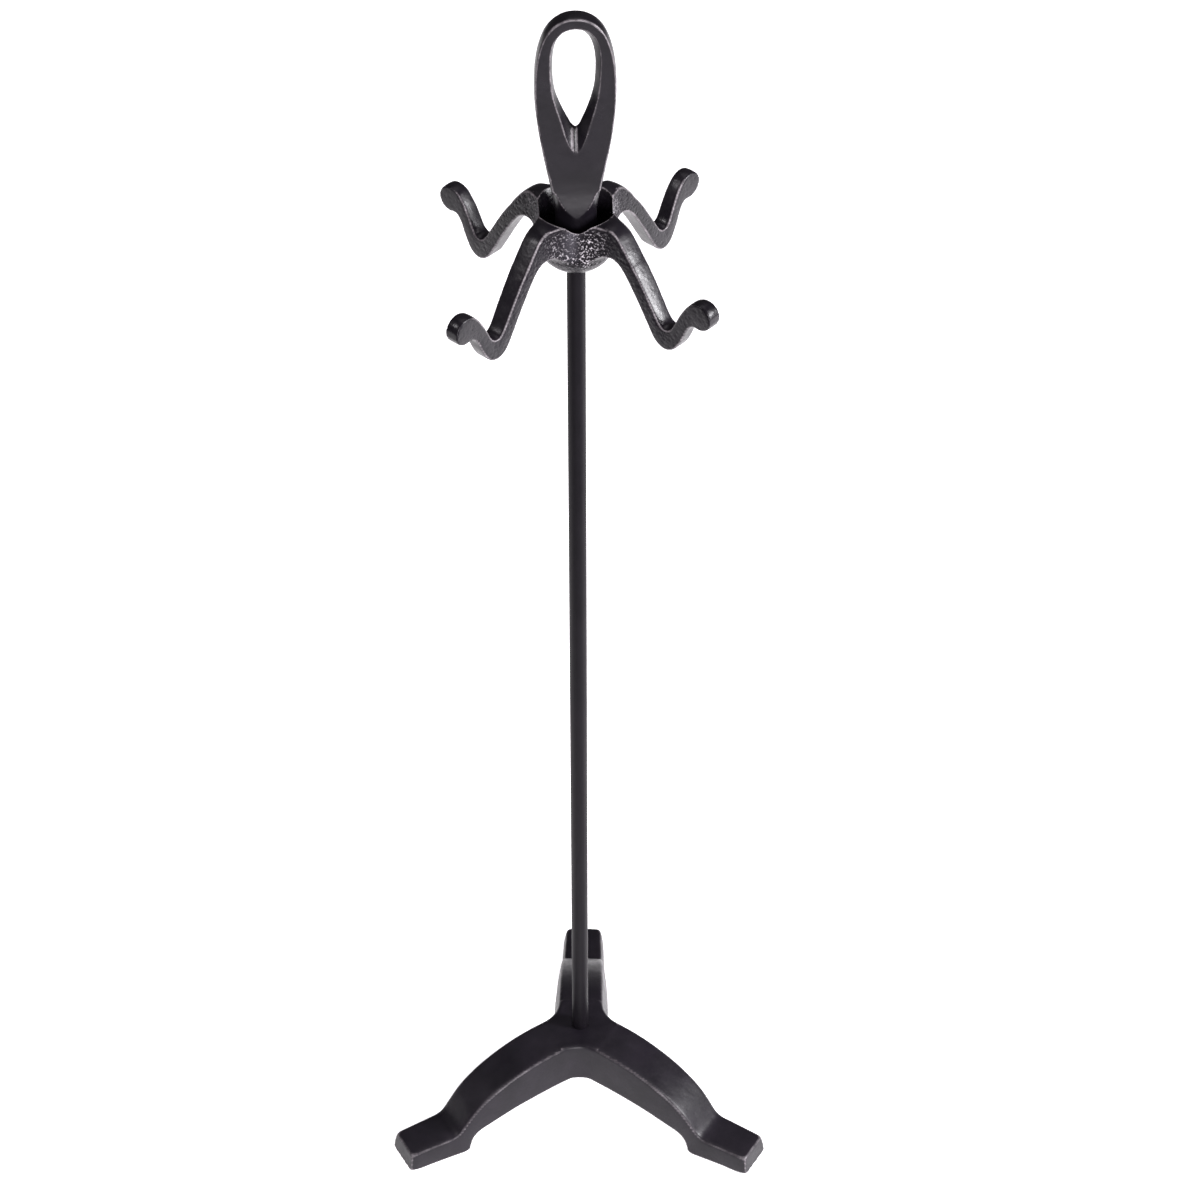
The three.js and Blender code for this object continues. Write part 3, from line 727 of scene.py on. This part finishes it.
def cast_black(name, rough, grain_gain=1.0, tone=1.0, wear_highlight_gain=1.0, grit_and_glints=False, level=0.5):
    """Black wax-finished iron: faint colour drift, sand grain where it was left, edges lightened partly as wear and
    partly as painted highlight, and optionally painted glints and a painted sheen on the crown's hub wall.
    """
    m = Nodes(name)
    grain = m.math("MULTIPLY", m.attr("grain"), grain_gain, clamp=True)
    edge = m.attr("edge")
    drift = m.noise(70, 4, 0.6)
    fine = m.noise(900, 4, 0.6)
    sand = m.noise(1150, 3, 0.65, 0.4)
    pits = m.cells(620)
    c0 = tuple(v * tone for v in (0.0050, 0.0041, 0.0062))
    c1 = tuple(v * tone for v in (0.0100, 0.0082, 0.0118))
    colour = m.mix(m.ramp(drift, 0.35, 0.68), c0, c1)
    colour = m.mix(m.math("MULTIPLY", m.ramp(sand, 0.56, 0.74), m.math("MULTIPLY", grain, 0.7)), colour, (0.030, 0.026, 0.030))
    # edge lightening: partly wear, partly painted highlight along edges and rims that stick out
    wear_and_highlight = m.math("MULTIPLY", m.ramp(edge, 0.22, 0.62), m.ramp(m.noise(330, 4, 0.7), 0.36, 0.62, 0.25, 1.0))
    wear_and_highlight = m.math("MULTIPLY", wear_and_highlight, wear_highlight_gain)
    colour = m.mix(wear_and_highlight, colour, (0.30, 0.275, 0.29))
    r = m.math("ADD", rough - 0.06, m.math("MULTIPLY", m.ramp(m.noise(110, 5, 0.62), 0.3, 0.7), 0.12))
    r = m.math("ADD", r, m.math("MULTIPLY", m.ramp(fine, 0.4, 0.7), 0.07))
    height = m.math("ADD", m.math("MULTIPLY", sand, 0.7), m.math("MULTIPLY", m.ramp(pits, 0.05, 0.55), 0.5))
    strength = grain
    if grit_and_glints:
        # painted glints and painted sheen: light dots on the hub wall's coarse patch and a lighter bluish patch beside
        # it; the coarse patch also gets a stronger bump
        glint_grit = m.attr("glint_grit")
        glint_spots = m.ramp(m.noise(1500, 2, 0.5, 0.3), 0.55, 0.64)
        colour = m.mix(m.math("MULTIPLY", m.attr("sheen_patch"), 0.12), colour, (0.34, 0.33, 0.38))
        colour = m.mix(m.math("MULTIPLY", glint_spots, glint_grit), colour, (0.60, 0.57, 0.60))
        strength = m.math("ADD", grain, glint_grit, clamp=True)
    n1 = m.bump(height, m.math("MULTIPLY", strength, 0.9), 0.00060)
    n2 = m.bump(m.noise(200, 3, 0.5), 0.08, 0.00040, n1)
    n3 = m.bump(fine, 0.08, 0.00010, n2)
    # the sandy sides are duller than the rubbed tops
    gloss = m.math("SUBTRACT", level, m.math("MULTIPLY", grain, 0.62 * level))
    return m.set(Base_Color=colour, Roughness=r, Normal=n3, Metallic=0.0, IOR=1.5, Specular_IOR_Level=gloss)


def drawn_black(name):
    """Black-finished drawn bar: streaks along the axis."""
    m = Nodes(name)
    stretch = m.add("ShaderNodeMapping")
    m.link(m.obj, stretch.inputs["Vector"])
    stretch.inputs["Scale"].default_value = (1.0, 1.0, 0.02)
    streak = m.noise(1600, 3, 0.6, vector=stretch.outputs["Vector"])
    cloud = m.noise(55, 4, 0.6)
    colour = m.mix(m.ramp(cloud, 0.3, 0.7), (0.0030, 0.0024, 0.0036), (0.0056, 0.0046, 0.0065))
    r = m.math("ADD", 0.42, m.math("MULTIPLY", m.ramp(streak, 0.35, 0.65), 0.10))
    r = m.math("ADD", r, m.math("MULTIPLY", m.ramp(cloud, 0.4, 0.7), 0.05))
    n1 = m.bump(streak, 0.10, 0.00008)
    n2 = m.bump(m.noise(180, 3, 0.5), 0.06, 0.00040, n1)
    return m.set(Base_Color=colour, Roughness=r, Normal=n2, Metallic=0.0, IOR=1.5, Specular_IOR_Level=0.10)


def zinc(name):
    m = Nodes(name)
    spangle = m.noise(350, 4, 0.6)
    fine = m.noise(2600, 3, 0.6)
    colour = m.mix(m.ramp(spangle, 0.35, 0.65), (0.42, 0.43, 0.45), (0.60, 0.60, 0.60))
    colour = m.mix(m.ramp(m.noise(800, 4, 0.7), 0.6, 0.75), colour, (0.30, 0.28, 0.24))
    r = m.math("ADD", 0.26, m.math("MULTIPLY", m.ramp(spangle, 0.3, 0.7), 0.16))
    return m.set(Base_Color=colour, Roughness=r, Normal=m.bump(fine, 0.12, 0.00005), Metallic=1.0)


def rubber(name):
    m = Nodes(name)
    cloud = m.noise(300, 4, 0.6)
    fine = m.noise(3000, 3, 0.6)
    colour = m.mix(m.ramp(cloud, 0.3, 0.7), (0.010, 0.010, 0.010), (0.022, 0.021, 0.021))
    colour = m.mix(m.math("MULTIPLY", m.ramp(m.noise(1400, 3, 0.7), 0.6, 0.75), 0.4), colour, (0.07, 0.067, 0.062))
    r = m.math("ADD", 0.72, m.math("MULTIPLY", m.ramp(fine, 0.3, 0.7), 0.18))
    return m.set(Base_Color=colour, Roughness=r, Normal=m.bump(fine, 0.25, 0.00006), Metallic=0.0, IOR=1.5)


BASE_MAT = cast_black("base_black", 0.36, 0.45, wear_highlight_gain=0.5, level=0.24)
CROWN_MAT = cast_black("crown_black", 0.30, 1.0, tone=0.8, wear_highlight_gain=0.8, grit_and_glints=True, level=0.26)
HANDLE_MAT = cast_black("handle_black", 0.30, 0.35, tone=0.7, wear_highlight_gain=0.62, level=0.27)
ROD_MAT = drawn_black("rod_black")
ZINC_MAT = zinc("zinc_steel")
RUBBER_MAT = rubber("pad_rubber")

# -------------------------------------------------------------------- pieces
PIECES = [
    (build_base(), "stand", "black_cast_iron", ["base_casting"], BASE_MAT, 50),
    (build_crown(), "crown", "black_cast_iron", ["crown_casting"], CROWN_MAT, 50),
    (build_handle(), "handle", "black_cast_iron", ["loop_handle"], HANDLE_MAT, 50),
    (build_rod(), "stand", "black_rod", ["rod"], ROD_MAT, 40),
    (build_washer(), "stand", "zinc_steel", ["base_washer"], ZINC_MAT, 40),
    (build_nut(), "stand", "zinc_steel", ["base_nut"], ZINC_MAT, 30),
    (build_pad("pad_rear", 90), "stand", "pad_rubber", ["foot_pad_rear"], RUBBER_MAT, 40),
    (build_pad("pad_left", 210), "stand", "pad_rubber", ["foot_pad_left"], RUBBER_MAT, 40),
    (build_pad("pad_right", 330), "stand", "pad_rubber", ["foot_pad_right"], RUBBER_MAT, 40),
]
for ob, body, slot_name, nodes, mat, sharp in PIECES:
    put(ob, body, slot_name, *nodes, sharp=sharp)
    ob.data.materials.clear()
    ob.data.materials.append(mat)

# --------------------------------------------------------- floor and lights
# a pale board with plain grey all round, the same for every ray
floor_me = bpy.data.meshes.new("floor")
X0, X1, Y0, Y1 = -1.3, 1.3, -0.26, 1.5
floor_me.from_pydata([(X0, Y0, 0), (X1, Y0, 0), (X1, Y1, 0), (X0, Y1, 0)], [], [(0, 1, 2, 3)])
floor = bpy.data.objects.new("floor", floor_me)
bpy.context.scene.collection.objects.link(floor)
fm = Nodes("floor_pale")
fm.set(Base_Color=(0.80, 0.79, 0.80, 1.0), Roughness=0.9)
fm.bsdf.inputs["Emission Color"].default_value = (1.0, 0.985, 0.995, 1.0)
fm.bsdf.inputs["Emission Strength"].default_value = 0.84
fm.bsdf.inputs["Specular IOR Level"].default_value = 0.0
floor_me.materials.append(fm.mat)

world = bpy.data.worlds.new("studio")
bpy.context.scene.world = world
world.use_nodes = True
bg = world.node_tree.nodes["Background"]
bg.inputs["Color"].default_value = (1.0, 0.97, 1.0, 1.0)
bg.inputs["Strength"].default_value = 0.10


def area(name, at, aim, size, energy, colour=(1, 1, 1)):
    data = bpy.data.lights.new(name, "AREA")
    data.shape = "RECTANGLE"
    data.size, data.size_y = size
    data.energy = energy
    data.color = colour
    ob = bpy.data.objects.new(name, data)
    bpy.context.scene.collection.objects.link(ob)
    ob.location = at
    ob.rotation_mode = "QUATERNION"
    ob.rotation_quaternion = (Vector(aim) - Vector(at)).to_track_quat("-Z", "Y")
    return ob


MID = (0.0, -0.016, 0.30)
area("front", (0.28, -1.60, 0.82), (0.0, -0.016, 0.25), (0.70, 0.50), 30, (1.0, 0.96, 1.0))
area("right", (1.356, -0.35, 0.78), (0, -0.016, 0.39), (0.36, 0.48), 44, (0.98, 0.97, 1.0))
area("arc_left", (-1.10, -0.30, 1.27), (0, -0.016, 0.46), (0.22, 0.22), 6.0, (1.0, 0.96, 1.0))
area("arc_right", (1.10, -0.30, 1.27), (0, -0.016, 0.46), (0.22, 0.22), 6.0, (1.0, 0.96, 1.0))
area("top", (0.0, 0.50, 2.0), (0, 0.1, 0), (1.0, 1.0), 5, (1.0, 0.95, 1.0))
# a low soft light in front, which the hub and the handle's face mirror
area("low_front", (0.0, -0.95, 0.06), (0, -0.016, 0.41), (1.0, 0.50), 3.0, (1.0, 0.95, 1.02))

# -------------------------------------------------------------------- camera
PHI = math.radians(1.2)
PITCH, YAW = math.radians(40.406), math.radians(0.4747)
FOCAL_PX = 3495.66
turn = Matrix.Rotation(PHI, 3, "Z")
eye = turn @ Vector((0.0, -0.90291, 1.01360)) + Vector((0, AXIS_Y / 1000, 0))
fwd = turn @ Vector((math.sin(YAW) * math.cos(PITCH), math.cos(YAW) * math.cos(PITCH), -math.sin(PITCH)))
cam_data = bpy.data.cameras.new("camera")
cam_data.sensor_fit = "HORIZONTAL"
cam_data.sensor_width = 36.0
cam_data.lens = FOCAL_PX / 1200.0 * 36.0
cam_data.clip_start, cam_data.clip_end = 0.05, 50.0
cam = bpy.data.objects.new("camera", cam_data)
bpy.context.scene.collection.objects.link(cam)
cam.location = eye
cam.rotation_mode = "QUATERNION"
cam.rotation_quaternion = fwd.to_track_quat("-Z", "Y")
bpy.context.scene.camera = cam
bpy.context.scene.view_settings.view_transform = "Standard"
bpy.context.scene.view_settings.look = "None"
bpy.context.scene.view_settings.exposure = 0.0
bpy.context.scene.view_settings.gamma = 1.0
